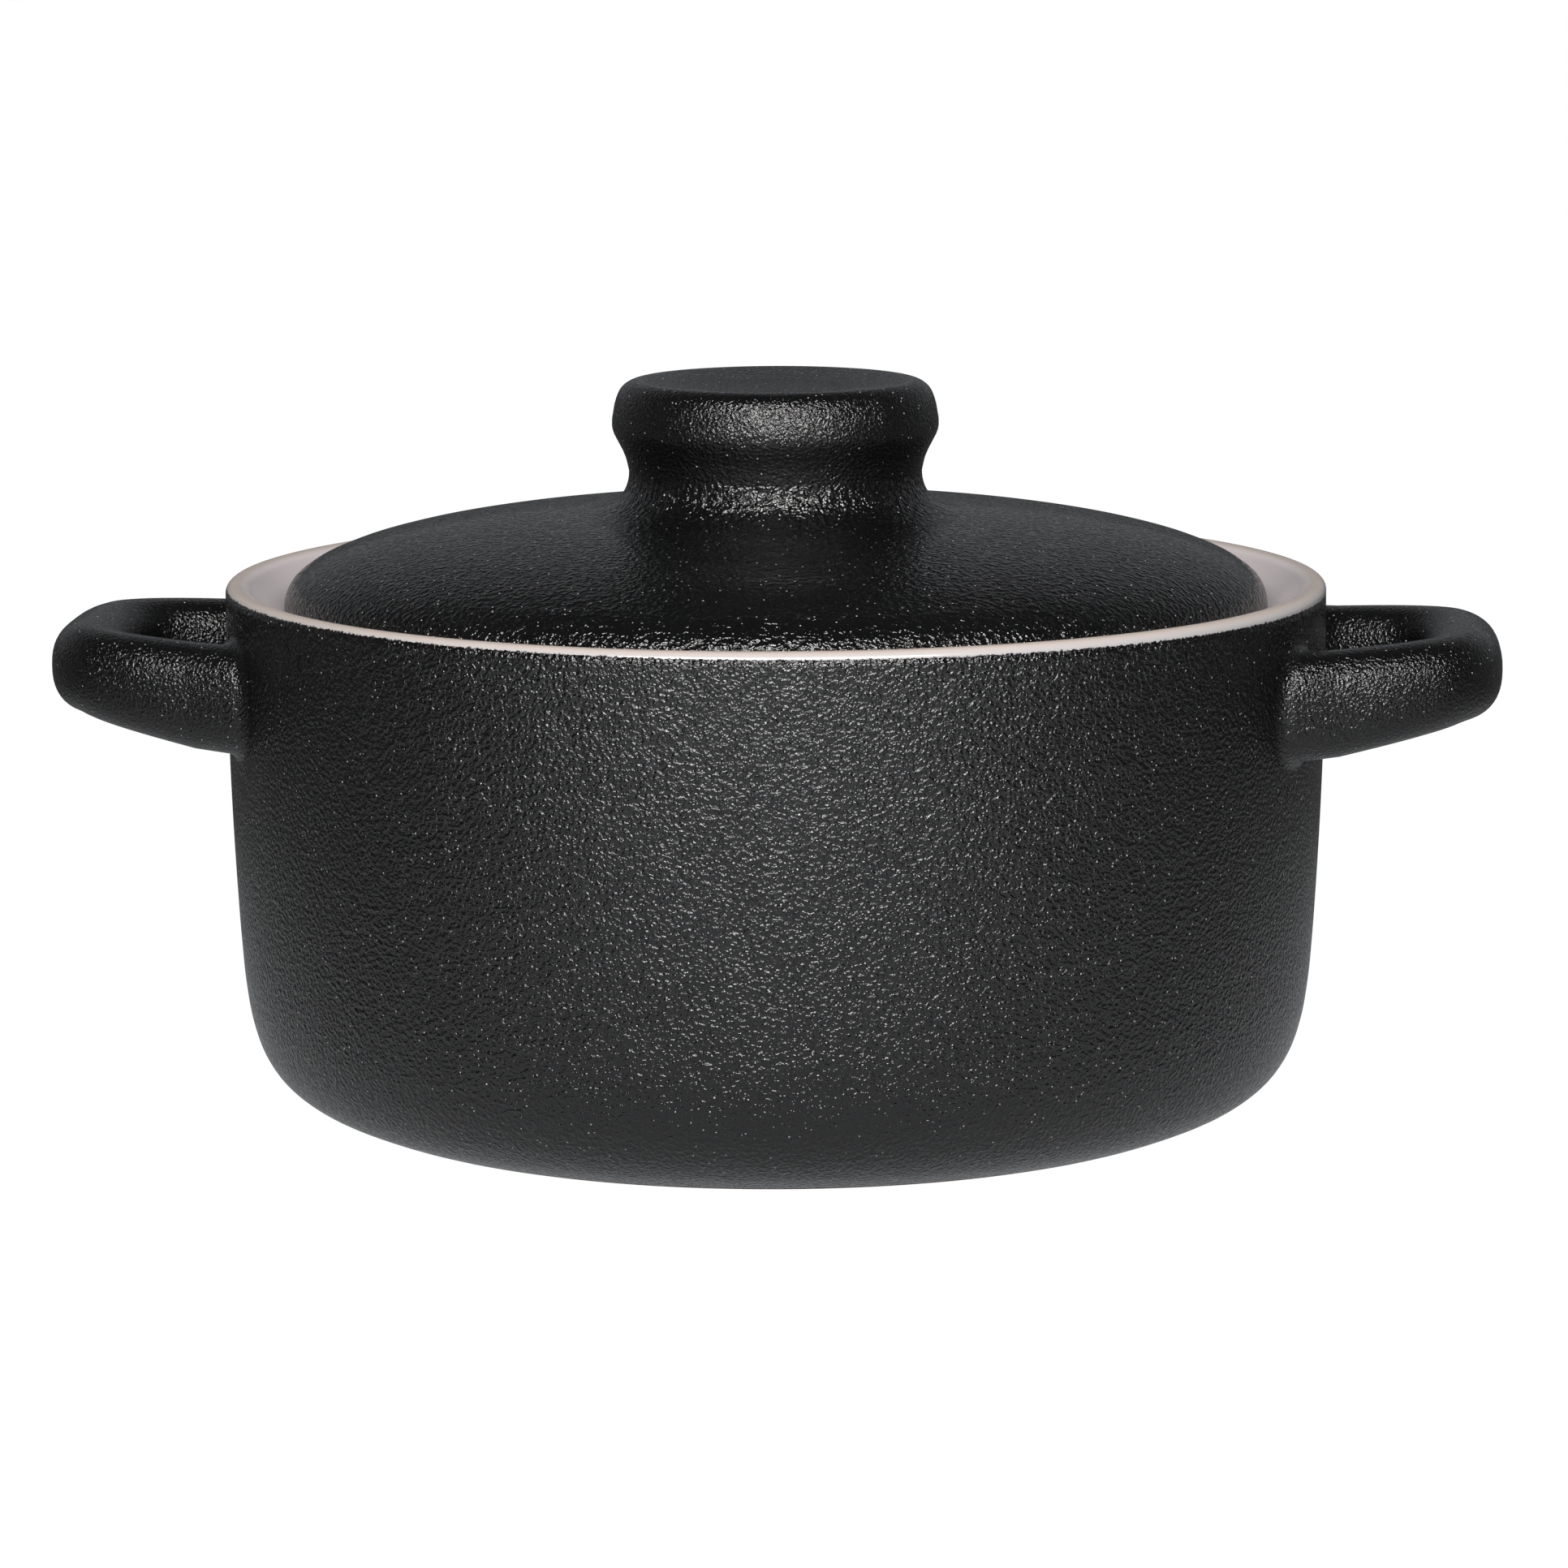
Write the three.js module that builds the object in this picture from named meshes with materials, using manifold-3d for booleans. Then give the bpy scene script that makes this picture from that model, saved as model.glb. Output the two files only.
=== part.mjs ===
// A round ceramic cooking pot with two loop handles and a domed lid that sits inside the rim.
// Millimetres, +Z up, the handles along X, the origin at the middle of the foot's underside.
import * as THREE from "three";
import { mergeVertices } from "three/addons/utils/BufferGeometryUtils.js";
import Module from "manifold-3d";

const wasm = await Module();
wasm.setup();

// Pot: radii from its axis, heights from the underside of its foot
const MOUTH_RADIUS = 99.5; // outside of the wall at the lip
const POT_HEIGHT = 96.9; // crest of the lip
const HEEL_INSET = 2; // how much narrower than the mouth the wall is where the heel ends
const HEEL_HEIGHT = 32;
const HEEL_TURN_IN = 4.2; // how far inside the wall, and how high, the heel turns upward
const HEEL_TURN_UP = 4.5;
const HEEL_RISE = 21; // how far below its end the heel is already nearly upright
const WALL_BULGE = 0.6; // how far the wall stands out from a straight line, halfway up
const FOOT_RADIUS = 75.3;
const FOOT_WIDTH = 7;
const FOOT_RECESS = 1.5; // depth of the hollow inside the foot ring
const WALL = 7;
const FLOOR = 8;
const FLOOR_FILLET = 18;

// Rim: the gallery that the lid sits in, and the lip above it
const SEAT_DEPTH = 10.6; // crest down to the ledge that carries the lid
const GALLERY_INSET = 9.3; // outside of the mouth in to the outer corner of the ledge
const LEDGE_WIDTH = 5.2;
const LEDGE_NOSE = 6; // height of the ledge's inner edge
const LEDGE_BRACE = 12; // height over which the ledge thins into the wall below
const COVE = 3; // fillet where the ledge turns up into the gallery
const NOSE_ROUND = 2.4;
const BRACE_ROUND = 14;
const LIP_WIDTH = 3.6;
const LIP_ROUND = 1.6; // outer edge of the lip
const LIP_FALL = 2.4; // inner edge of the lip
const LIP_DROP = 1.8; // how far the pale glaze comes down outside

// Lid: radii from its axis, heights from the ledge
const LID_CLEARANCE = 1.2; // round the lid, inside the gallery
const LID_EDGE_HEIGHT = 6.3; // where the lid is widest
const LID_EDGE_ROUND = 2; // how far the edge draws in below that
const SEAT_WIDTH = 5; // flat ring that the lid rests on
const DOME_RISE = 17.4;
const DOME_POWER = 2.3; // 2 is an ellipse, and more is flatter with a rounder edge
const LID_WALL = 6.5;
const VENT_RADIUS = 1.5; // lets the air out of the hollow knob as the clay is fired

// Neck and knob: heights from the top of the dome, then from the joint at the neck's narrowest level
const FLARE_RADIUS = 37; // where the neck runs out into the dome
const NECK_RADIUS = 26.5;
const NECK_RISE = 6.5; // the joint above the dome
const NECK_UPRIGHT = 4.9; // how far below the joint the neck begins to flare
const KNOB_WAIST = 1.3; // how far above the joint the knob begins to widen
const WAIST_ROUND = 13;
const HEAD_RADIUS = 29.8;
const HEAD_HEIGHT = 8.1; // lower edge of the head
const HEAD_ROUND = 5;
const HEAD_TAPER = 1.8; // how much narrower the head is at its top
const KNOB_HEIGHT = 16.8;
const KNOB_EDGE_ROUND = 4.2;
const KNOB_DISH = 1.8; // depth of the hollow in the knob's top
const DISH_RADIUS = 12; // flat middle of that hollow
const DISH_ROUND = 24;
const KNOB_WALL = 6.5;

// Handles
const HANDLE_DROP = 7.2; // crest of the lip down to the top of a handle, at its outer end
const HANDLE_RISE = 1.5; // how much higher the outer end is than the arms at the wall
const HANDLE_REACH = 31.7; // beyond the wall
const HANDLE_SPREAD = 53.4; // between the middles of the two arms
const HANDLE_SET = 8; // how far inside the wall's face the arms begin to bend
const HANDLE_POWER = 3.5; // 2 is an ellipse in plan, and more is squarer
const GRIP_WIDTH = 14.4;
const GRIP_HEIGHT = 15.8;
const GRIP_POWER = 2.4; // its section is squarer than an ellipse too
const ROOT_HEIGHT = 19.3; // height of an arm at the wall
const ROOT_FILLET = 2.6;
const ROOT_SPLAY = 6; // how far each arm has swung outwards where it meets the wall
const SPLAY_REACH = 18.5; // beyond the wall, where the arms begin to swing outwards
const SPLAY_POWER = 1.5; // 1 is straight, and more is a bend close to the wall

// Fits and facets
const GLAZE = 0.5; // thickness of the pale glaze
const SEAM = 0.3; // space left between two pieces that are joined or rest on each other
const SEGMENTS = 40;
const CURVE_STEPS = 7;
const FILLET_TURN = Math.PI / 5; // largest turn between two points of a fillet
const FILLET_SHARE = 0.49; // most of an edge that each of the fillets at its two ends takes up
const EDGE_STEPS = 2;
const ARCH_STEPS = 8; // points on half of a handle's plan
const GRIP_STEPS = 60;
const GRIP_SIDES = 4; // points on a quarter of the grip's section
const WELD = 1e-3; // points closer than this are one point

const HEEL_RADIUS = MOUTH_RADIUS - HEEL_INSET;
const SEAT_HEIGHT = POT_HEIGHT - SEAT_DEPTH;
const GALLERY_RADIUS = MOUTH_RADIUS - GALLERY_INSET;
const LID_RADIUS = GALLERY_RADIUS - LID_CLEARANCE;
const DOME_TOP = LID_EDGE_HEIGHT + DOME_RISE;
const NECK_HEIGHT = DOME_TOP + NECK_RISE;
const CAVITY_RADIUS = NECK_RADIUS - KNOB_WALL;
const COAT_TOP = POT_HEIGHT - LIP_DROP - SEAM; // upper edge of the black coat

const blackCoat = () =>
  new THREE.MeshStandardMaterial({ color: 0x232427, roughness: 0.5, metalness: 0 });
const paleGlaze = () =>
  new THREE.MeshStandardMaterial({ color: 0xe9ddd5, roughness: 0.2, metalness: 0 });

function point(radius, height) {
  return new THREE.Vector2(radius, height);
}

// Points of an outline whose corners, [radius, height, fillet], are rounded by their fillets.
function filleted(corners) {
  const at = corners.map(([radius, height]) => point(radius, height));
  const room = (i, j) => at[i].distanceTo(at[j]) * FILLET_SHARE * (corners[j][2] ? 1 : 2);
  return corners.flatMap(([, , fillet = 0], i) => {
    if (!fillet) return [at[i]];
    const back = at[i - 1].clone().sub(at[i]);
    const on = at[i + 1].clone().sub(at[i]);
    back.normalize();
    on.normalize();
    const half = Math.acos(back.dot(on)) / 2;
    const reach = Math.min(fillet / Math.tan(half), room(i, i - 1), room(i, i + 1));
    const radius = reach * Math.tan(half);
    const middle = back.clone().add(on).setLength(radius / Math.sin(half)).add(at[i]);
    const start = back.setLength(reach).add(at[i]).sub(middle).angle();
    const end = on.setLength(reach).add(at[i]).sub(middle).angle();
    const turn = Math.atan2(Math.sin(end - start), Math.cos(end - start));
    const steps = Math.ceil(Math.abs(turn) / FILLET_TURN);
    return Array.from({ length: steps + 1 }, (_, k) => {
      const angle = start + (turn * k) / steps;
      return point(radius, 0).rotateAround(point(0, 0), angle).add(middle);
    });
  });
}

// The same outline moved sideways, to the right of the way it runs.
function moved(outline, distance) {
  const sides = outline.slice(1).map((p, i) => {
    const along = p.clone().sub(outline[i]).normalize();
    return point(along.y, -along.x);
  });
  return outline.map((p, i) => {
    const before = sides[Math.max(i - 1, 0)];
    const after = sides[Math.min(i, sides.length - 1)];
    const side = before.clone().add(after).normalize();
    return side.multiplyScalar(distance / side.dot(before)).add(p);
  });
}

// A quarter of a superellipse, from its widest point up to its top or to a least radius.
function quarter(radius, rise, power, least, steps) {
  const far = Math.acos((least / radius) ** (power / 2));
  return Array.from({ length: steps + 1 }, (_, k) => {
    const across = Math.cos((far * k) / steps) ** (2 / power);
    const up = Math.sin((far * k) / steps) ** (2 / power);
    return point(radius * across, rise * up);
  });
}

// A dome on the lid's power, standing on a base height.
function dome(radius, rise, base, least) {
  const outline = quarter(radius, rise, DOME_POWER, least, CURVE_STEPS);
  return outline.map((p) => p.setY(p.y + base));
}

function turned(outline) {
  return new THREE.LatheGeometry(outline, SEGMENTS).rotateX(Math.PI / 2);
}

function piece(name, geometry, material) {
  const mesh = new THREE.Mesh(geometry, material);
  mesh.name = name;
  return mesh;
}

function solidOf(geometry) {
  const loose = geometry.index ? geometry.toNonIndexed() : geometry;
  const bare = new THREE.BufferGeometry();
  bare.setAttribute("position", loose.getAttribute("position"));
  const merged = mergeVertices(bare, WELD);
  return new wasm.Manifold(
    new wasm.Mesh({
      numProp: 3,
      vertProperties: merged.getAttribute("position").array,
      triVerts: new Uint32Array(merged.index.array),
    }),
  );
}

function geometryOf(solid) {
  const mesh = solid.getMesh();
  const geometry = new THREE.BufferGeometry();
  geometry.setAttribute("position", new THREE.BufferAttribute(mesh.vertProperties, 3));
  return geometry.setIndex(new THREE.BufferAttribute(mesh.triVerts, 1));
}

// The wall above the heel: a shallow curve from the heel up to the edge of the black coat.
const wallCurve = new THREE.QuadraticBezierCurve(
  point(HEEL_RADIUS, HEEL_HEIGHT),
  point(
    (HEEL_RADIUS + MOUTH_RADIUS) / 2 + 2 * WALL_BULGE,
    (HEEL_HEIGHT + COAT_TOP) / 2,
  ),
  point(MOUTH_RADIUS, COAT_TOP),
);

// Outside of the pot, from the foot's outer edge up to the edge of the black coat.
function potOutside() {
  const rise = wallCurve.getTangent(0).setLength(HEEL_RISE);
  const heel = new THREE.CubicBezierCurve(
    point(FOOT_RADIUS, 0),
    point(HEEL_RADIUS - HEEL_TURN_IN, HEEL_TURN_UP),
    wallCurve.v0.clone().sub(rise),
    wallCurve.v0,
  );
  return [
    ...heel.getPoints(CURVE_STEPS),
    ...wallCurve.getPoints(CURVE_STEPS).slice(1),
  ];
}

// Face of the pale glaze, from the middle of the floor up and over the lip.
function potInside() {
  const ledge = GALLERY_RADIUS - LEDGE_WIDTH;
  const nose = SEAT_HEIGHT - LEDGE_NOSE;
  const brace = nose - LEDGE_BRACE;
  const upTo = (brace - HEEL_HEIGHT) / (COAT_TOP - HEEL_HEIGHT);
  const wall = wallCurve.getPoint(upTo).x;
  const lean = (wall - HEEL_RADIUS) / (brace - HEEL_HEIGHT);
  const corner = HEEL_RADIUS - WALL - lean * (HEEL_HEIGHT - FLOOR);
  return filleted([
    [0, FLOOR],
    [corner, FLOOR, FLOOR_FILLET],
    [wall - WALL, brace, BRACE_ROUND],
    [ledge, nose, NOSE_ROUND],
    [ledge, SEAT_HEIGHT, NOSE_ROUND],
    [GALLERY_RADIUS, SEAT_HEIGHT, COVE],
    [MOUTH_RADIUS - LIP_WIDTH, POT_HEIGHT, LIP_FALL],
    [MOUTH_RADIUS, POT_HEIGHT, LIP_ROUND],
    [MOUTH_RADIUS, POT_HEIGHT - LIP_DROP],
  ]);
}

function potBody() {
  const foot = FOOT_RADIUS - FOOT_WIDTH;
  const inside = moved(potInside(), GLAZE + SEAM).reverse();
  return turned([
    point(0, FOOT_RECESS),
    point(foot - FOOT_RECESS, FOOT_RECESS),
    point(foot, 0),
    ...potOutside(),
    point(inside[0].x, COAT_TOP),
    ...inside,
  ]);
}

function potGlaze() {
  const face = potInside();
  return turned([...moved(face, GLAZE), ...face.reverse()]);
}

// The neck, from the dome up to the joint with the knob.
function neck(start) {
  const curve = new THREE.CubicBezierCurve(
    start,
    point((start.x + 2 * NECK_RADIUS) / 3, start.y),
    point(NECK_RADIUS, NECK_HEIGHT - NECK_UPRIGHT),
    point(NECK_RADIUS, NECK_HEIGHT),
  );
  return curve.getPoints(CURVE_STEPS);
}

function lidUnderside() {
  const radius = LID_RADIUS - LID_EDGE_ROUND - SEAT_WIDTH;
  return dome(radius, DOME_TOP - LID_WALL - SEAM, SEAM, VENT_RADIUS);
}

function lidDome() {
  const under = lidUnderside();
  const top = dome(LID_RADIUS, DOME_RISE, LID_EDGE_HEIGHT, FLARE_RADIUS);
  const edge = new THREE.EllipseCurve(
    LID_RADIUS - LID_EDGE_ROUND,
    LID_EDGE_HEIGHT,
    LID_EDGE_ROUND,
    LID_EDGE_HEIGHT - SEAM,
    -Math.PI / 2,
    0,
  );
  return turned([
    ...under.reverse(),
    ...edge.getPoints(2 * EDGE_STEPS).slice(0, -1),
    ...top.slice(0, -1),
    ...neck(top.at(-1)),
    point(CAVITY_RADIUS, NECK_HEIGHT),
    point(CAVITY_RADIUS, DOME_TOP),
    point(VENT_RADIUS, DOME_TOP),
    under[0],
  ]);
}

function lidGlaze() {
  const under = lidUnderside().slice(1).reverse();
  const face = moved(under, SEAM + GLAZE);
  return turned([...face, ...moved(under, SEAM).reverse(), face[0]]);
}

// The knob, hollow from below, standing on the joint.
function lidKnob() {
  const dish = KNOB_HEIGHT - KNOB_DISH;
  const roof = dish - KNOB_WALL;
  return turned(
    filleted([
      [0, roof],
      [CAVITY_RADIUS, roof, KNOB_WALL],
      [CAVITY_RADIUS, 0],
      [NECK_RADIUS, 0],
      [NECK_RADIUS, KNOB_WAIST, WAIST_ROUND],
      [HEAD_RADIUS, HEAD_HEIGHT, HEAD_ROUND],
      [HEAD_RADIUS - HEAD_TAPER, KNOB_HEIGHT, KNOB_EDGE_ROUND],
      [DISH_RADIUS, dish, DISH_ROUND],
      [0, dish],
    ]),
  );
}

// A flat line in plan, held at one height.
class LevelCurve extends THREE.Curve {
  constructor(plan, height) {
    super();
    this.plan = plan;
    this.height = height;
  }

  getPoint(t, target = new THREE.Vector3()) {
    const { x, y } = this.plan.getPoint(t);
    return target.set(x, y, this.height);
  }
}

// The right handle: a loop of even section, then made deeper, swung apart and flared towards the wall.
function handle() {
  const top = POT_HEIGHT - HANDLE_DROP;
  const arm = HANDLE_SPREAD / 2;
  const hub = MOUTH_RADIUS - HANDLE_SET;
  const swingStart = MOUTH_RADIUS + SPLAY_REACH;
  const end = MOUTH_RADIUS + HANDLE_REACH - GRIP_WIDTH / 2;
  const arch = quarter(arm, end - hub, HANDLE_POWER, 0, ARCH_STEPS);
  const near = arch.map((p) => point(hub + p.y, -p.x));
  const far = arch.map((p) => point(hub + p.y, p.x)).reverse();
  const plan = new THREE.Path();
  plan.moveTo(hub - HANDLE_SET, -arm);
  plan.lineTo(near[0].x, near[0].y);
  plan.splineThru([...near.slice(1), ...far.slice(1)]);
  plan.lineTo(hub - HANDLE_SET, arm);
  const bow = quarter(GRIP_HEIGHT / 2, GRIP_WIDTH / 2, GRIP_POWER, 0, GRIP_SIDES).slice(1);
  const half = [...bow, ...bow.slice(0, -1).reverse().map((p) => point(-p.x, p.y))];
  half.push(point(-GRIP_HEIGHT / 2, 0));
  const section = new THREE.Shape([...half, ...half.map((p) => p.clone().negate())]);
  const loop = new THREE.ExtrudeGeometry(section, {
    steps: GRIP_STEPS,
    extrudePath: new LevelCurve(plan, -GRIP_HEIGHT / 2),
  });
  const at = loop.getAttribute("position");
  for (let i = 0; i < at.count; i++) {
    const x = at.getX(i);
    const y = at.getY(i);
    const inward = THREE.MathUtils.clamp((end - x) / (end - MOUTH_RADIUS), 0, 1);
    const height = THREE.MathUtils.lerp(GRIP_HEIGHT, ROOT_HEIGHT, inward);
    const level = top - HANDLE_RISE * inward;
    const bend = THREE.MathUtils.clamp((x - hub) / (end - hub), 0, 1);
    const swing = THREE.MathUtils.clamp((swingStart - x) / (swingStart - hub), 0, 1);
    const splay = Math.sign(y) * ROOT_SPLAY * swing ** SPLAY_POWER;
    const middle = point(
      Math.sign(y) * arm * (1 - bend ** HANDLE_POWER) ** (1 / HANDLE_POWER) + splay,
      level - height / 2,
    );
    const off = point(y + splay, level + (at.getZ(i) * height) / GRIP_HEIGHT).sub(middle);
    const foot = y + splay + (ROOT_FILLET * off.x) / off.length();
    const face = Math.sqrt(MOUTH_RADIUS ** 2 - foot ** 2);
    const away = THREE.MathUtils.clamp(x - face, 0, ROOT_FILLET);
    const flare = ROOT_FILLET - Math.sqrt(away * (2 * ROOT_FILLET - away));
    off.setLength(off.length() + flare).add(middle);
    at.setXYZ(i, x, off.x, off.y);
  }
  const outside = moved(potOutside(), SEAM);
  const wall = turned([
    point(0, outside[0].y),
    ...outside,
    point(outside.at(-1).x, POT_HEIGHT),
    point(0, POT_HEIGHT),
  ]);
  return geometryOf(solidOf(loop).subtract(solidOf(wall)));
}

const pot = new THREE.Group();
pot.name = "pot";
const leftHandle = piece("left_handle", handle(), blackCoat());
leftHandle.rotation.z = Math.PI;
pot.add(
  piece("pot_body", potBody(), blackCoat()),
  piece("pot_glaze", potGlaze(), paleGlaze()),
  piece("right_handle", handle(), blackCoat()),
  leftHandle,
);

const lid = new THREE.Group();
lid.name = "lid";
lid.position.z = SEAT_HEIGHT;
const knob = piece("lid_knob", lidKnob(), blackCoat());
knob.position.z = NECK_HEIGHT;
lid.add(
  piece("lid_dome", lidDome(), blackCoat()),
  piece("lid_glaze", lidGlaze(), paleGlaze()),
  knob,
);

const casserole = new THREE.Group();
casserole.name = "casserole";
casserole.add(pot, lid);
export default casserole;
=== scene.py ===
"""A black ceramic casserole with a pale glazed inside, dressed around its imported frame."""

import math

import bpy
import numpy as np
from mathutils import Matrix, Vector


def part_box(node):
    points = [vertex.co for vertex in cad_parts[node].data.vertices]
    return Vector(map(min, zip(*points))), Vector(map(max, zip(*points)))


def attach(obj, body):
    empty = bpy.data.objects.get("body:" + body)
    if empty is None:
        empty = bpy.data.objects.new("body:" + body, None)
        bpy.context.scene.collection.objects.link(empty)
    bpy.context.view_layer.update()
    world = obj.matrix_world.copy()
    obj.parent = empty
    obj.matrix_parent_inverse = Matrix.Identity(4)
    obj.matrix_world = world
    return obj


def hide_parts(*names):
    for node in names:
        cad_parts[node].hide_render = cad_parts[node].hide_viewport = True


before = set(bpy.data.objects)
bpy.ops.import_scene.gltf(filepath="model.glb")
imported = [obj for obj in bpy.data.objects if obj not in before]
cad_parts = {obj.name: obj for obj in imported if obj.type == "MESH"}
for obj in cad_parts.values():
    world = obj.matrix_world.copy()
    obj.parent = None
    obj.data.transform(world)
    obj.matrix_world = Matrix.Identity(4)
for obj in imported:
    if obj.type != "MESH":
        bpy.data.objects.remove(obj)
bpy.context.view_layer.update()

MM = 0.001

# Meshes
SEGMENTS = 288  # round each turned piece
STEP = 1.6 * MM  # longest step along an outline
TURN = math.radians(7)  # largest turn in one step
CORNER = math.radians(40)  # a sharper turn in the CAD outline is a real corner
LONG = 2.0  # a stretch this much longer than its neighbour sets the direction where they meet
WELD = 1e-6  # points closer than this are one point

# Rim: the black coat ends in a ragged line on the outside of the pale lip
RIM_DEPTH = 1.5 * MM  # an outline's points this near the mouth's radius are on the outside of the rim
LIP_END = 95.1 * MM  # lower edge of the lining's outside in the frame
COAT_JOINT = 93.6 * MM  # where it is brought down to, with black coat on both sides of the joint
COAT_EDGE = 95.65 * MM  # height of the ragged line
COAT_TILT = 0.0053  # how much lower the line lies for each metre to the right
COAT_ROLL = 1.1 * MM  # how far below the line the coat has its full thickness
RAGGED = 0.3 * MM  # how far the line strays
LIP_INSIDE = 96.9 * MM  # radii of the lip's crest
LIP_OUTSIDE = 98.4 * MM
LIP_BLEND = 1.2 * MM  # how far inside the crest its colour begins, a painted warm bounce light
LIP_UPPER = COAT_EDGE + 1.2 * MM  # heights between which that changes to the colour of its lower edge
LIP_LOWER = COAT_EDGE + 0.2 * MM
COAT_BLEND = 0.3 * MM  # how far outside the crest the coat can first be seen

# Handles
MOUTH_RADIUS = 99.5 * MM
WALL_DEPTH = 3.6 * MM  # an outline's points this near the mouth's radius are on the outer wall
HANDLE_TOP = 89.7 * MM  # at a handle's outer end
HANDLE_RISE = 1.5 * MM  # how much higher that end is than the arms at the wall
HANDLE_ARM = 26.7 * MM  # from the middle of the handle to the middle of an arm
HANDLE_HUB = 91.5 * MM  # where the arms begin to bend, inside the wall
HANDLE_END = 124.0 * MM  # middle of the grip at its outer end
HANDLE_POWER = 3.5  # 2 is an ellipse in plan, and more is squarer
GRIP_WIDTH = 14.4 * MM
GRIP_HEIGHT = 15.8 * MM
GRIP_POWER = 2.4  # of the section
ROOT_HEIGHT = 19.3 * MM  # height of an arm at the wall
ROOT_FILLET = 2.2 * MM
ROOT_SPLAY = 6.0 * MM  # how far each arm has swung outwards where it meets the wall
SPLAY_START = MOUTH_RADIUS + 18.5 * MM  # where the arms begin to swing outwards
SPLAY_POWER = 1.5
SPLAY_ROUNDS = 9  # enough to find where a swung arm meets the wall
ROOT_DEPTH = 1.5 * MM  # how far an arm goes on into the wall
ROOT_STEPS = 9
PLAN_POINTS = 20001  # on a handle's plan, before they are spaced evenly
GRIP_STEP = 0.8 * MM
GRIP_SIDES = 48

# Finish: heights in millimetres, and ENDS are where a noise counts as at its lowest and its highest
WALL_PEBBLES = (0.76 * MM, 0.66)  # size and height of the coat's pebbles on the wall
LID_PEBBLES = (1.0 * MM, 0.78)
FINE_PEBBLES = (0.56 * MM, 0.4)  # on the knob and the handles
PEBBLE_DETAIL = 1.8
PEBBLE_ENDS = (0.38, 0.56)
PEBBLE_ROUGHNESS = (0.24, 0.07)  # of the bottoms and the tops of the pebbles
GRAIN_SPACING = 1.7 * MM
GRAIN_EDGE = (0.11, 0.06)  # a grain's radius, and that of its full colour, painted pale as a glint, in spacings
GRAIN_RELIEF = 0.08
# pale colour painted on the coat's grains: painted glints
GRAIN_GLINT_COLOUR = (0.42, 0.42, 0.43, 1)
COAT_COLOURS = (0.0022, 0.0022, 0.0024, 1), (0.0042, 0.0042, 0.0046, 1)
COAT_CLOUDS = 18 * MM
ROLL_RELIEF = 0.35  # thickness of the coat at its edge
FOOT_BARE = 0.9 * MM  # height of the bare clay at the foot
SEAT_BARE = 0.6 * MM  # and above the lid's seat
BARE_STRAY = 0.35 * MM  # how far the coat's line strays there
TOOTH_SIZE = 0.7 * MM  # of a ragged line
TOOTH_ENDS = (0.25, 0.75)
TOOTH_BLEND = 0.06 * MM
CLAY_COLOURS = (0.10, 0.045, 0.022, 1), (0.28, 0.145, 0.08, 1)
CLAY_ENDS = (0.3, 0.7)
CLAY_ROUGHNESS = (0.75, 0.95)
CLAY_GRAIN = 0.7 * MM
CLAY_RELIEF = 0.3
GLAZE_IOR = 1.65
GLAZE_COLOURS = (0.55, 0.49, 0.505, 1), (0.60, 0.55, 0.55, 1)
GLAZE_ENDS = (0.3, 0.7)
GLAZE_ROUGHNESS = (0.14, 0.24)
GLAZE_CLOUDS = 22 * MM
GLAZE_RIPPLES = 7 * MM
GLAZE_RELIEF = 0.04
LIP_BOUNCE_COLOURS = (0.48, 0.405, 0.36, 1), (0.48, 0.46, 0.46, 1)  # of the crest and of its lower edge: painted bounce light, warm at the crest and whiter below

# Studio, in metres: a bright floor in front, dark sides, a low glow behind, and panels in front and above
FLOOR_GAP = 0.05 * MM  # under the foot
FLOOR_REACH = 14.0
FLOOR_CLOUDS = 0.4
FLOOR_COLOURS = (0.04, 0.04, 0.04, 1), (0.05, 0.05, 0.05, 1)
FLOOR_ROUGHNESS = (0.9, 1.0)
FLOOR_TINT = (0.95, 0.975, 1, 1)  # of its light
FRONT_SPREAD = (0.2, 1.0)  # from the sides to straight ahead of the pot
FAR_GLOW = (0.05, 1.0)  # at those two
NEAR_GLOW = 0.37
NEAR_REACH = (0.12, 0.35)  # from the pot's axis, where the near glow gives way to the far one
BACK_SPREAD = (-0.2, -0.9)  # from the sides to behind the pot
BACK_HEIGHT = (0.55, 0.35)  # from the top of the glow behind the pot to its full strength
ROOM_GLOW = (0.03, 0.21)
ROOM_COLOUR = (0.94, 0.97, 1.0, 1)
WHITE = (1, 1, 1, 1)
LAMP_COLOUR = (1.0, 0.985, 0.97)
LAMP_AIM = Vector((0, 0, 0.09))
FRONT_LIGHT = {"elevation": math.radians(34), "distance": 1.5, "width": 1.6, "height": 0.37, "power": 34.0}
FILL_LIGHT = {"elevation": math.radians(80), "distance": 1.6, "width": 1.2, "height": 1.2, "power": 8.0}

# Camera: it stands a little to the right of the pot's front and leans a little
CAMERA_TURN = math.radians(4.03)
CAMERA_PITCH = math.radians(9.015)
CAMERA_LEAN = math.radians(-0.186)
CAMERA_PLACE = Vector((1.35, -1252.72, 257.67)) * MM
CAMERA_LENS = 159.88
CAMERA_SENSOR = 36.0


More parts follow.
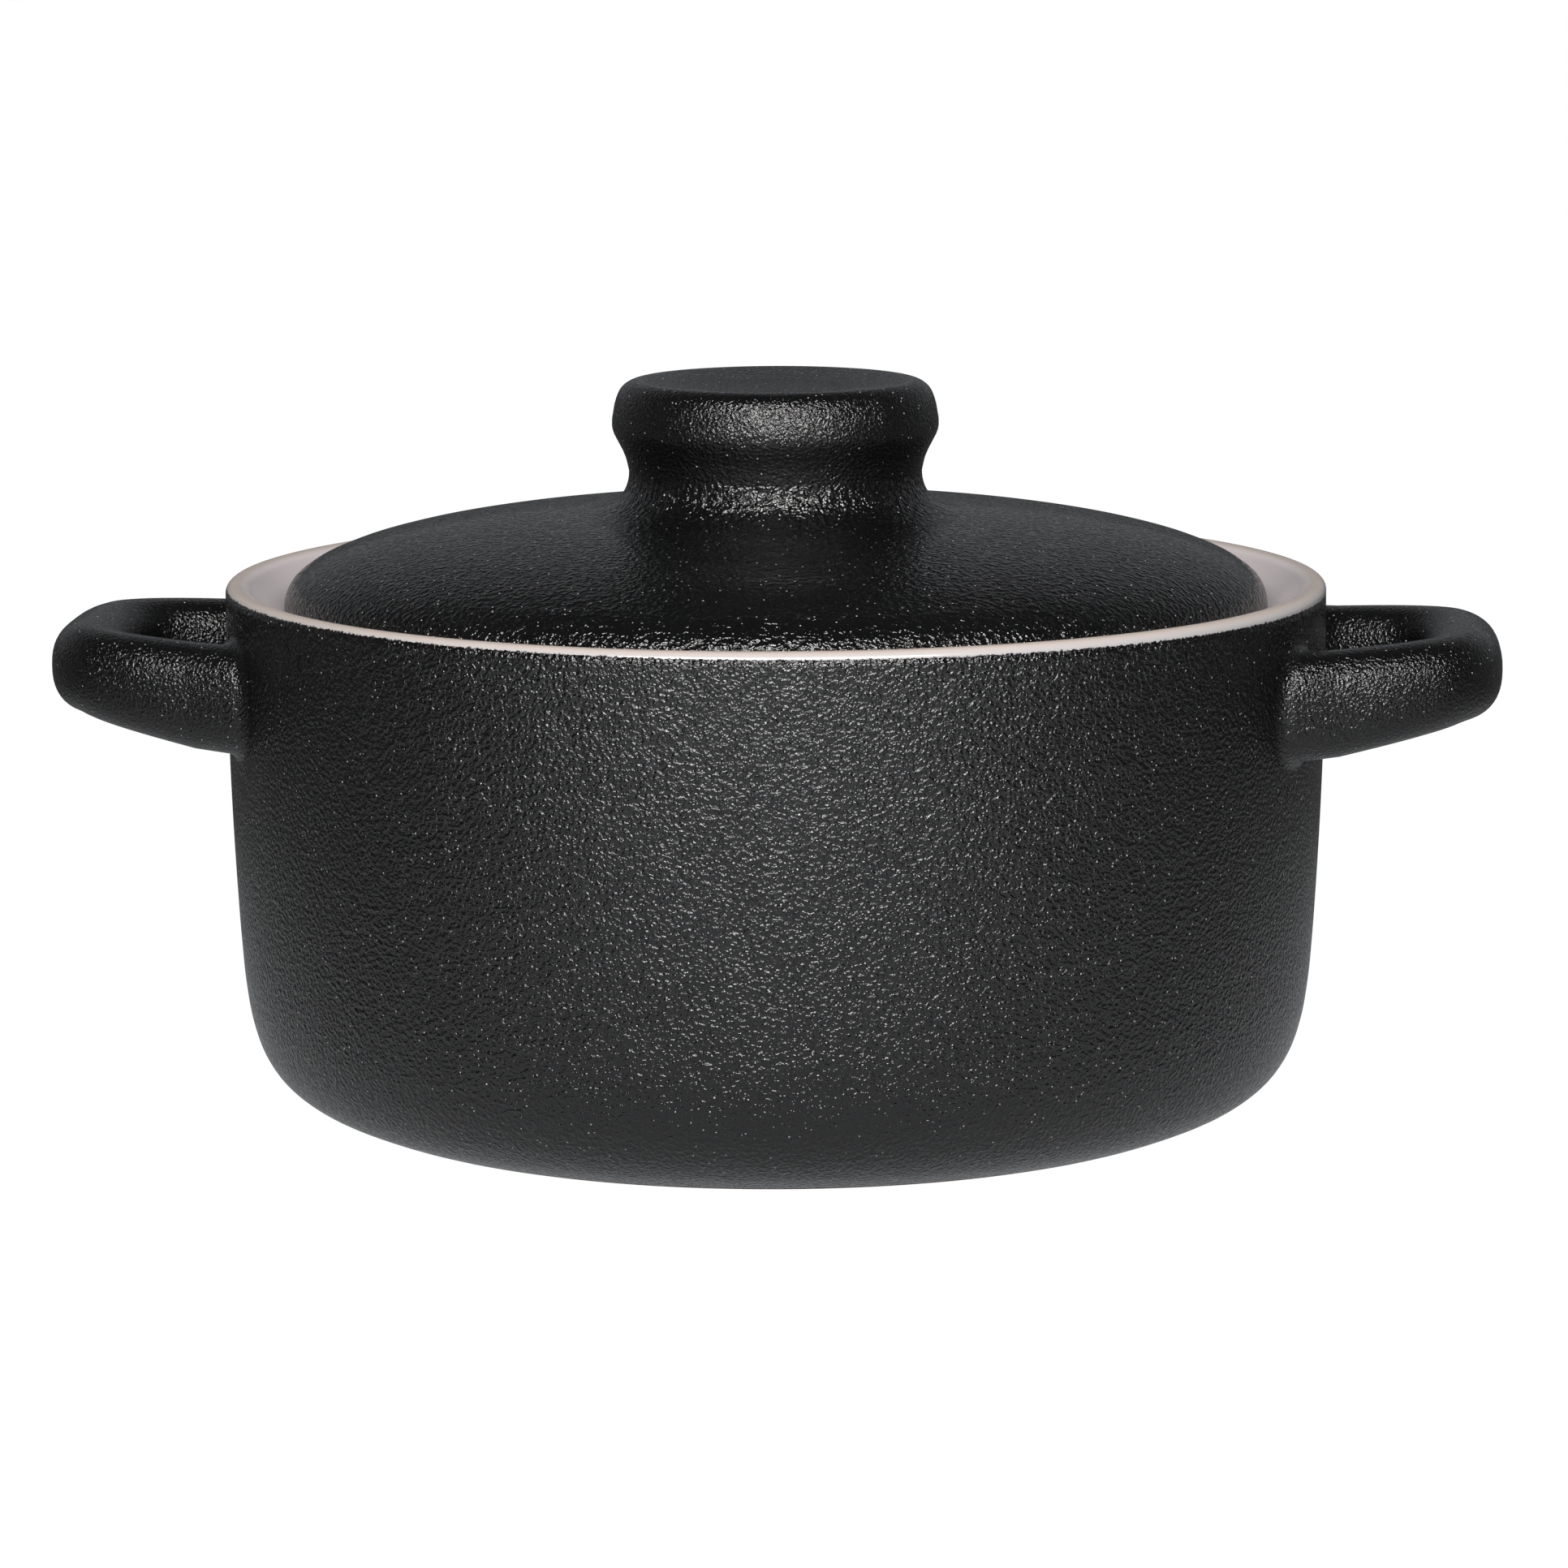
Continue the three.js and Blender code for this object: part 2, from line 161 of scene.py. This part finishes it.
def outline(name):
    """A turned node's outline on its -Y side: (radius, height) rows in order, and whether it closes."""
    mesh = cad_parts[name].data
    at = np.empty(3 * len(mesh.vertices))
    mesh.vertices.foreach_get("co", at)
    at = at.reshape(-1, 3)
    edges = np.empty(2 * len(mesh.edges), int)
    mesh.edges.foreach_get("vertices", edges)
    flat = (abs(at[:, 0]) < WELD) & (at[:, 1] < WELD)
    keys = [tuple(key) for key in np.round(at[:, 1:] / WELD).astype(int)]
    links = {}
    for a, b in edges.reshape(-1, 2):
        if flat[a] and flat[b] and keys[a] != keys[b]:
            links.setdefault(keys[a], set()).add(keys[b])
            links.setdefault(keys[b], set()).add(keys[a])
    ends = [key for key in links if len(links[key]) == 1]
    path = [min(ends or links)]
    while onward := links[path[-1]] - set(path):
        path.append(min(onward))
    return np.array(path) * (-WELD, WELD), not ends


def direction(v):
    return v / np.linalg.norm(v)


def angle(a, b):
    return math.acos(np.clip(a @ b, -1, 1))


def tangents(points, closed):
    """The direction at each point of an outline, or None at a corner or an end."""
    found = []
    for i, point in enumerate(points):
        if not closed and i in (0, len(points) - 1):
            found.append(None)
            continue
        back, on = point - points[i - 1], points[(i + 1) % len(points)] - point
        a, b = np.linalg.norm(back), np.linalg.norm(on)
        if angle(back / a, on / b) > CORNER:
            found.append(None)
        elif a > LONG * b:
            found.append(back / a)
        elif b > LONG * a:
            found.append(on / b)
        else:
            found.append(direction(back / a * b + on / b * a))
    return found


def refined(points, closed):
    """A smooth line through an outline's points that keeps its corners."""
    ways = tangents(points, closed)
    line = []
    for i in range(len(points) - (not closed)):
        j = (i + 1) % len(points)
        span = points[j] - points[i]
        along = direction(span)
        start, end = ways[i], ways[j]
        if start is None:
            start = along if end is None else 2 * (along @ end) * along - end
        if end is None:
            end = 2 * (along @ start) * along - start
        length = np.linalg.norm(span)
        turn = angle(start, along) + angle(along, end)
        steps = math.ceil(max(length / STEP, turn / TURN))
        for t in np.arange(steps) / steps:
            line.append(
                (1 + 2 * t) * (1 - t) ** 2 * points[i]
                + t * (1 - t) ** 2 * length * start
                + t * t * (3 - 2 * t) * points[j]
                + t * t * (t - 1) * length * end
            )
    if not closed:
        line.append(points[-1])
    return np.clip(line, points.min(0), points.max(0))


def volume(mesh):
    """Six times the volume of a closed mesh, negative if its faces point inwards."""
    mesh.calc_loop_triangles()
    corners = np.empty(3 * len(mesh.loop_triangles), int)
    mesh.loop_triangles.foreach_get("vertices", corners)
    at = np.empty(3 * len(mesh.vertices))
    mesh.vertices.foreach_get("co", at)
    a, b, c = at.reshape(-1, 3)[corners.reshape(-1, 3)].transpose(1, 0, 2)
    return np.einsum("ij,ij", a, np.cross(b, c))


def solid(name, places, faces):
    """A mesh object, smooth but for its corners, facing outwards."""
    mesh = bpy.data.meshes.new(name)
    mesh.from_pydata(places, [], faces)
    mesh.validate()
    piece = bpy.data.objects.new(name, mesh)
    bpy.context.scene.collection.objects.link(piece)
    if volume(mesh) < 0:
        mesh.flip_normals()
    mesh.shade_smooth()
    mesh.set_sharp_from_angle(angle=CORNER)
    return piece


def turned(name, line, closed):
    """A closed solid turned about Z from an outline."""
    around = np.arange(SEGMENTS) * 2 * math.pi / SEGMENTS
    places, rings = [], []
    for radius, height in line:
        count = SEGMENTS if radius > WELD else 1
        rings.append([len(places) + k % count for k in range(SEGMENTS)])
        places += [(radius * math.sin(a), -radius * math.cos(a), height) for a in around[:count]]
    faces = []
    for low, high in zip(rings, rings[1:] + rings[:1] * closed):
        for k in range(SEGMENTS):
            j = (k + 1) % SEGMENTS
            corners = [low[k], low[j], high[j], high[k]]
            faces.append(list(dict.fromkeys(corners)))
    return solid(name, places, faces)


def wall_radius(height):
    """Radius of the pot's outside at each of these heights."""
    points, _ = outline("pot_body")
    outside = points[points[:, 0] > MOUTH_RADIUS - WALL_DEPTH]
    outside = outside[np.argsort(outside[:, 1])]
    return np.interp(height, outside[:, 1], outside[:, 0])


def bowed(turn):
    """A wave like a cosine, for a section squarer than an ellipse."""
    wave = np.cos(turn)
    return np.sign(wave) * np.abs(wave) ** (2 / GRIP_POWER)


def splayed(x, y):
    """y swung outwards towards the wall."""
    near = ((SPLAY_START - x) / (SPLAY_START - HANDLE_HUB)).clip(0, 1)
    return y + np.sign(y) * ROOT_SPLAY * near**SPLAY_POWER


def root(ring, arm, z):
    """Rings that carry an arm's last ring on to the wall with a fillet, and a little way into it."""
    x, y = ring[:, 0], ring[:, 1]
    off = np.c_[y - arm, z - z.mean()]
    off /= np.linalg.norm(off, axis=1)[:, None]
    foot = y
    for _ in range(SPLAY_ROUNDS):
        foot = splayed(np.sqrt(MOUTH_RADIUS**2 - foot**2), y)
    rings = []
    for turn in np.linspace(0, math.pi / 2, ROOT_STEPS):
        flare = ROOT_FILLET * (1 - math.cos(turn))
        away = ROOT_FILLET * (1 - math.sin(turn))
        wide, high = foot + off[:, 0] * flare, z + off[:, 1] * flare
        face = np.sqrt(wall_radius(high) ** 2 - wide**2)
        rings.append(np.c_[face + away, wide, high])
    ring = np.c_[x, splayed(x, y), ring[:, 2]]
    between = [ring + (rings[0] - ring) * t for t in np.arange(1, ROOT_STEPS) / ROOT_STEPS]
    return between + rings + [rings[-1] - (ROOT_DEPTH, 0, 0)]


def handle(name, side):
    """A loop handle, deeper towards the wall that its arms run into."""
    t = np.linspace(0, math.pi, PLAN_POINTS)
    across = np.abs(np.cos(t)) ** (2 / HANDLE_POWER) * np.sign(-np.cos(t))
    out = np.sin(t).clip(0) ** (2 / HANDLE_POWER)
    path = np.c_[HANDLE_HUB + (HANDLE_END - HANDLE_HUB) * out, HANDLE_ARM * across]
    path = path[path[:, 0] > MOUTH_RADIUS + ROOT_FILLET]
    run = np.r_[0, np.cumsum(np.linalg.norm(np.diff(path, axis=0), axis=1))]
    at = np.linspace(0, run[-1], math.ceil(run[-1] / GRIP_STEP) + 1)
    middle = np.c_[np.interp(at, run, path[:, 0]), np.interp(at, run, path[:, 1])]
    ahead = np.gradient(middle, axis=0)
    ahead /= np.linalg.norm(ahead, axis=1)[:, None]
    outward = np.c_[ahead[:, 1], -ahead[:, 0]]
    turn = np.arange(GRIP_SIDES) * 2 * math.pi / GRIP_SIDES
    plan = middle[:, None] + outward[:, None] * (GRIP_WIDTH / 2 * bowed(turn))[None, :, None]
    inward = ((HANDLE_END - plan[..., 0]) / (HANDLE_END - MOUTH_RADIUS)).clip(0, 1)
    deep = GRIP_HEIGHT + (ROOT_HEIGHT - GRIP_HEIGHT) * inward
    core = HANDLE_TOP - HANDLE_RISE * inward - deep / 2
    rings = np.dstack([plan, core + deep / 2 * bowed(turn - math.pi / 2)])
    foot = HANDLE_TOP - HANDLE_RISE + ROOT_HEIGHT / 2 * (bowed(turn - math.pi / 2) - 1)
    start = root(rings[0], middle[0, 1], foot)
    end = root(rings[-1], middle[-1, 1], foot)
    rings[..., 1] = splayed(rings[..., 0], rings[..., 1])
    rings = np.array(start[::-1] + list(rings) + end)
    places = (rings * (side, side, 1)).reshape(-1, 3)
    rings = np.arange(len(places)).reshape(-1, GRIP_SIDES)
    faces = [list(rings[0]), list(rings[-1][::-1])]
    for low, high in zip(rings, rings[1:]):
        for k in range(GRIP_SIDES):
            j = (k + 1) % GRIP_SIDES
            faces.append([low[k], low[j], high[j], high[k]])
    return solid(name, places.tolist(), [[int(v) for v in face] for face in faces])


def node(tree, kind, inputs=None, **settings):
    """A new shader node with its settings made and its inputs set or linked."""
    new = tree.nodes.new("ShaderNode" + kind)
    for key, value in settings.items():
        setattr(new, key, value)
    for key, value in (inputs or {}).items():
        if isinstance(value, bpy.types.NodeSocket):
            tree.links.new(value, new.inputs[key])
        else:
            new.inputs[key].default_value = value
    return new


MIX_SOCKETS = {"FLOAT": (2, 3, 0), "RGBA": (6, 7, 2)}  # a Mix node's two inputs and its output


def mixed(tree, factor, a, b, kind="FLOAT"):
    """a where factor is 0 and b where it is 1."""
    first, second, out = MIX_SOCKETS[kind]
    inputs = {0: factor, first: a, second: b}
    return node(tree, "Mix", inputs, data_type=kind).outputs[out]


def ranged(tree, value, low, high, to_low=0.0, to_high=1.0):
    """value's low to high, held at its ends, as to_low to to_high."""
    inputs = {"Value": value, "From Min": low, "From Max": high, "To Min": to_low, "To Max": to_high}
    return node(tree, "MapRange", inputs).outputs["Result"]


def math_node(tree, operation, a, b):
    return node(tree, "Math", {0: a, 1: b}, operation=operation).outputs[0]


def noise(tree, place, size, detail=2.0, roughness=0.5):
    """Noise from 0 to 1 whose spots are about one size apart."""
    inputs = {"Vector": place, "Scale": 1 / size, "Detail": detail, "Roughness": roughness}
    return node(tree, "TexNoise", inputs).outputs["Fac"]


def coat_layer(tree, place, size, relief):
    """The black coat with its grains, painted pale as glints: colour, roughness and height in millimetres.
    """
    pebbles = noise(tree, place, size, PEBBLE_DETAIL)
    grains = {"Vector": place, "Scale": 1 / GRAIN_SPACING}
    near = node(tree, "TexVoronoi", grains, feature="F1").outputs["Distance"]
    grain = ranged(tree, near, *GRAIN_EDGE)
    height = ranged(tree, pebbles, 0, 1, 0, relief)
    height = math_node(tree, "ADD", height, math_node(tree, "MULTIPLY", grain, GRAIN_RELIEF))
    cloud = noise(tree, place, COAT_CLOUDS, detail=3.0)
    colour = mixed(tree, cloud, *COAT_COLOURS, "RGBA")
    # the grains painted pale: painted glints
    colour = mixed(tree, grain, colour, GRAIN_GLINT_COLOUR, "RGBA")
    rough = ranged(tree, pebbles, *PEBBLE_ENDS, *PEBBLE_ROUGHNESS)
    return colour, rough, height


def clay_layer(tree, place):
    """Bare fired clay: colour, roughness and height in millimetres."""
    grain = noise(tree, place, CLAY_GRAIN, detail=4.0, roughness=0.6)
    colour = mixed(tree, grain, *CLAY_COLOURS, "RGBA")
    rough = ranged(tree, grain, *CLAY_ENDS, *CLAY_ROUGHNESS)
    return colour, rough, ranged(tree, grain, 0, 1, 0, CLAY_RELIEF)


def glaze_layer(tree, place):
    """The pale glaze: colour, roughness and height in millimetres."""
    cloud = noise(tree, place, GLAZE_CLOUDS, detail=4.0, roughness=0.6)
    ripple = noise(tree, place, GLAZE_RIPPLES, detail=1.0)
    colour = mixed(tree, cloud, *GLAZE_COLOURS, "RGBA")
    rough = ranged(tree, cloud, *GLAZE_ENDS, *GLAZE_ROUGHNESS)
    return colour, rough, ranged(tree, ripple, 0, 1, 0, GLAZE_RELIEF)


def over(tree, factor, below, above):
    """One layer above another where factor is 1."""
    return (
        mixed(tree, factor, below[0], above[0], "RGBA"),
        mixed(tree, factor, below[1], above[1]),
        mixed(tree, factor, below[2], above[2]),
    )


def ragged(tree, place, value, level, stray):
    """1 where value is above a level that strays up and down, and 0 below it."""
    teeth = noise(tree, place, TOOTH_SIZE, detail=3.0, roughness=0.7)
    shift = ranged(tree, teeth, *TOOTH_ENDS, -stray, stray)
    value = math_node(tree, "ADD", value, shift)
    return ranged(tree, value, level - TOOTH_BLEND, level + TOOTH_BLEND)


def surface(tree, layer):
    """The shader of a layer."""
    colour, rough, height = layer
    bump = node(tree, "Bump", {"Strength": 1.0, "Distance": MM, "Height": height})
    inputs = {"Base Color": colour, "Roughness": rough, "Normal": bump.outputs["Normal"]}
    return node(tree, "BsdfPrincipled", {**inputs, "IOR": GLAZE_IOR})


def finished(tree, layer):
    """Ends a material with its shader."""
    node(tree, "OutputMaterial", {"Surface": surface(tree, layer).outputs["BSDF"]})


def started(name):
    """A new material's tree and the object's own coordinates in it."""
    material = bpy.data.materials.new(name)
    material.use_nodes = True
    material.node_tree.nodes.clear()
    place = node(material.node_tree, "TexCoord").outputs["Object"]
    return material, material.node_tree, place


def height_in(tree, place):
    return node(tree, "SeparateXYZ", {0: place}).outputs["Z"]


def black_coat(name, pebbles, bare_below=None):
    """The black coat, with bare clay below a height."""
    material, tree, place = started(name)
    layer = coat_layer(tree, place, *pebbles)
    if bare_below is not None:
        coated = ragged(tree, place, height_in(tree, place), bare_below, BARE_STRAY)
        layer = over(tree, coated, clay_layer(tree, place), layer)
    finished(tree, layer)
    return material


def pale_glaze(name, rim=False):
    """The pale glaze, and on the pot's rim its thin edge, painted warm with bounce light, and the ragged
    end of the black coat.
    """
    material, tree, place = started(name)
    layer = glaze_layer(tree, place)
    if rim:
        axes = node(tree, "SeparateXYZ", {0: place}).outputs
        flat = node(tree, "CombineXYZ", {"X": axes["X"], "Y": axes["Y"]}).outputs[0]
        radius = node(tree, "VectorMath", {0: flat}, operation="LENGTH").outputs["Value"]
        # the crest: glaze colour giving way to painted bounce light, warm at its top and whiter at its
        # lower edge
        crest = ranged(tree, radius, LIP_INSIDE - LIP_BLEND, LIP_INSIDE)
        edge = mixed(tree, ranged(tree, axes["Z"], LIP_UPPER, LIP_LOWER), *LIP_BOUNCE_COLOURS, "RGBA")
        colour = mixed(tree, crest, layer[0], edge, "RGBA")
        outside = ranged(tree, radius, LIP_OUTSIDE, LIP_OUTSIDE + COAT_BLEND)
        level = math_node(tree, "ADD", axes["Z"], math_node(tree, "MULTIPLY", axes["X"], COAT_TILT))
        pale = ragged(tree, place, level, COAT_EDGE, RAGGED)
        black = math_node(tree, "SUBTRACT", outside, math_node(tree, "MULTIPLY", outside, pale))
        coat = coat_layer(tree, place, *WALL_PEBBLES)
        roll = ranged(tree, level, COAT_EDGE, COAT_EDGE - COAT_ROLL, 0, ROLL_RELIEF)
        coat = (*coat[:2], math_node(tree, "ADD", coat[2], roll))
        layer = over(tree, black, (colour, *layer[1:]), coat)
    finished(tree, layer)
    return material


def dress(piece, material, body, slot, *nodes):
    """Gives a piece its material and its place in the frame."""
    piece.data.materials.append(material)
    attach(piece, body)
    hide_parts(*nodes)


def lowered_wall():
    """The pot's outline with the top of its outer wall brought down to the joint with the lip."""
    points, closed = outline("pot_body")
    top = (points[:, 0] > MOUTH_RADIUS - RIM_DEPTH) & (points[:, 1] > COAT_JOINT)
    points[top, 1] = COAT_JOINT
    return points, closed


def lowered_lip():
    """The lining's outline with its outer edge brought down to the joint with the wall."""
    points, closed = outline("pot_glaze")
    edge = (points[:, 0] > MOUTH_RADIUS - RIM_DEPTH) & (abs(points[:, 1] - LIP_END) < 2 * WELD)
    points[edge, 1] = COAT_JOINT
    return points, closed


def make_pot():
    """The pot's wall, its pale lining and lip, and its handles."""
    coat = black_coat("coat_on_pot", WALL_PEBBLES, bare_below=FOOT_BARE)
    points, closed = lowered_wall()
    dress(turned("pot_wall", refined(points, closed), closed), coat, "pot", "black_coat", "pot_body")
    points, closed = lowered_lip()
    lining = turned("pot_lining", refined(points, closed), closed)
    dress(lining, pale_glaze("glaze_on_pot", rim=True), "pot", "pale_glaze", "pot_glaze")
    plain = black_coat("coat_on_handles", FINE_PEBBLES)
    dress(handle("loop_right", 1), plain, "pot", "black_coat", "right_handle")
    dress(handle("loop_left", -1), plain, "pot", "black_coat", "left_handle")


def make_lid():
    """The lid's dome, its pale lining and its knob."""
    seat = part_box("lid_dome")[0].z
    shell_coat = black_coat("coat_on_lid", LID_PEBBLES, bare_below=seat + SEAT_BARE)
    for name, source, material, slot in (
        ("lid_shell", "lid_dome", shell_coat, "black_coat"),
        ("lid_lining", "lid_glaze", pale_glaze("glaze_on_lid"), "pale_glaze"),
        ("knob", "lid_knob", black_coat("coat_on_knob", FINE_PEBBLES), "black_coat"),
    ):
        points, closed = outline(source)
        dress(turned(name, refined(points, closed), closed), material, "lid", slot, source)


def panel(name, elevation, distance, width, height, power, reflected=True):
    """A soft light that faces the pot from the camera's side or from above."""
    lamp = bpy.data.lights.new(name, "AREA")
    lamp.shape = "RECTANGLE"
    lamp.size, lamp.size_y = width, height
    lamp.energy = power
    lamp.color = LAMP_COLOUR
    light = bpy.data.objects.new(name, lamp)
    back = Vector((0, -math.cos(elevation), math.sin(elevation)))
    back.rotate(Matrix.Rotation(CAMERA_TURN, 3, "Z"))
    light.location = LAMP_AIM + distance * back
    light.rotation_euler = back.to_track_quat("Z", "Y").to_euler()
    light.visible_glossy = reflected
    bpy.context.scene.collection.objects.link(light)


def facing(tree, way, low, high):
    """0 to 1 as a direction turns from low to high towards the camera's side."""
    front = (math.sin(CAMERA_TURN), -math.cos(CAMERA_TURN), 0)
    level = node(tree, "VectorMath", {0: way, 1: front}, operation="DOT_PRODUCT").outputs["Value"]
    return ranged(tree, level, low, high)


def make_floor():
    """A plain floor, clear from below, that lights the pot from the front more than from the sides."""
    material, tree, place = started("floor")
    way = node(tree, "VectorMath", {0: place}, operation="NORMALIZE").outputs["Vector"]
    ahead = facing(tree, way, *FRONT_SPREAD)
    far_glow = ranged(tree, math_node(tree, "MULTIPLY", ahead, ahead), 0, 1, *FAR_GLOW)
    away = node(tree, "VectorMath", {0: place}, operation="LENGTH").outputs["Value"]
    glow = mixed(tree, ranged(tree, away, *NEAR_REACH), NEAR_GLOW, far_glow)
    seen = node(tree, "LightPath").outputs["Is Camera Ray"]
    cloud = noise(tree, place, FLOOR_CLOUDS)
    colour = mixed(tree, cloud, *FLOOR_COLOURS, "RGBA")
    shader = surface(tree, (colour, ranged(tree, cloud, 0, 1, *FLOOR_ROUGHNESS), cloud))
    shader.inputs["Specular IOR Level"].default_value = 0.0
    tint = mixed(tree, seen, FLOOR_TINT, WHITE, "RGBA")
    tree.links.new(tint, shader.inputs["Emission Color"])
    tree.links.new(mixed(tree, seen, glow, 1.0), shader.inputs["Emission Strength"])
    below = node(tree, "NewGeometry").outputs["Backfacing"]
    clear = node(tree, "BsdfTransparent").outputs["BSDF"]
    sided = node(tree, "MixShader", {0: below, 1: shader.outputs["BSDF"], 2: clear})
    node(tree, "OutputMaterial", {"Surface": sided.outputs["Shader"]})
    mesh = bpy.data.meshes.new("floor")
    corners = [(x * FLOOR_REACH, y * FLOOR_REACH, 0) for x, y in ((-1, -1), (1, -1), (1, 1), (-1, 1))]
    mesh.from_pydata(corners, [], [(0, 1, 2, 3)])
    mesh.materials.append(material)
    floor = bpy.data.objects.new("floor", mesh)
    floor.location.z = -FLOOR_GAP
    bpy.context.scene.collection.objects.link(floor)


def make_studio():
    """The room, white to the camera, and its lights."""
    scene = bpy.context.scene
    scene.view_settings.view_transform = "Standard"
    world = bpy.data.worlds.new("studio")
    world.use_nodes = True
    tree = world.node_tree
    tree.nodes.clear()
    way = node(tree, "TexCoord").outputs["Generated"]
    low = ranged(tree, height_in(tree, way), *BACK_HEIGHT)
    behind = math_node(tree, "MULTIPLY", low, facing(tree, way, *BACK_SPREAD))
    glow = ranged(tree, behind, 0, 1, *ROOM_GLOW)
    seen = node(tree, "LightPath").outputs["Is Camera Ray"]
    room = node(tree, "Background", {"Color": ROOM_COLOUR, "Strength": glow})
    paper = node(tree, "Background", {"Color": WHITE, "Strength": 1.0})
    either = node(tree, "MixShader", {0: seen, 1: room.outputs[0], 2: paper.outputs[0]})
    node(tree, "OutputWorld", {"Surface": either.outputs[0]})
    scene.world = world
    panel("front_light", **FRONT_LIGHT)
    panel("fill_light", **FILL_LIGHT, reflected=False)


def make_camera():
    """The camera, at the photograph's viewing angle."""
    data = bpy.data.cameras.new("camera")
    data.lens = CAMERA_LENS
    data.sensor_width = CAMERA_SENSOR
    camera = bpy.data.objects.new("camera", data)
    turn = Matrix.Rotation(CAMERA_TURN, 4, "Z")
    camera.location = turn @ CAMERA_PLACE
    tip = Matrix.Rotation(math.pi / 2 - CAMERA_PITCH, 4, "X")
    lean = Matrix.Rotation(CAMERA_LEAN, 4, "Z")
    camera.rotation_euler = (turn @ tip @ lean).to_euler()
    bpy.context.scene.collection.objects.link(camera)
    bpy.context.scene.camera = camera


make_camera()
make_studio()
make_floor()
make_pot()
make_lid()
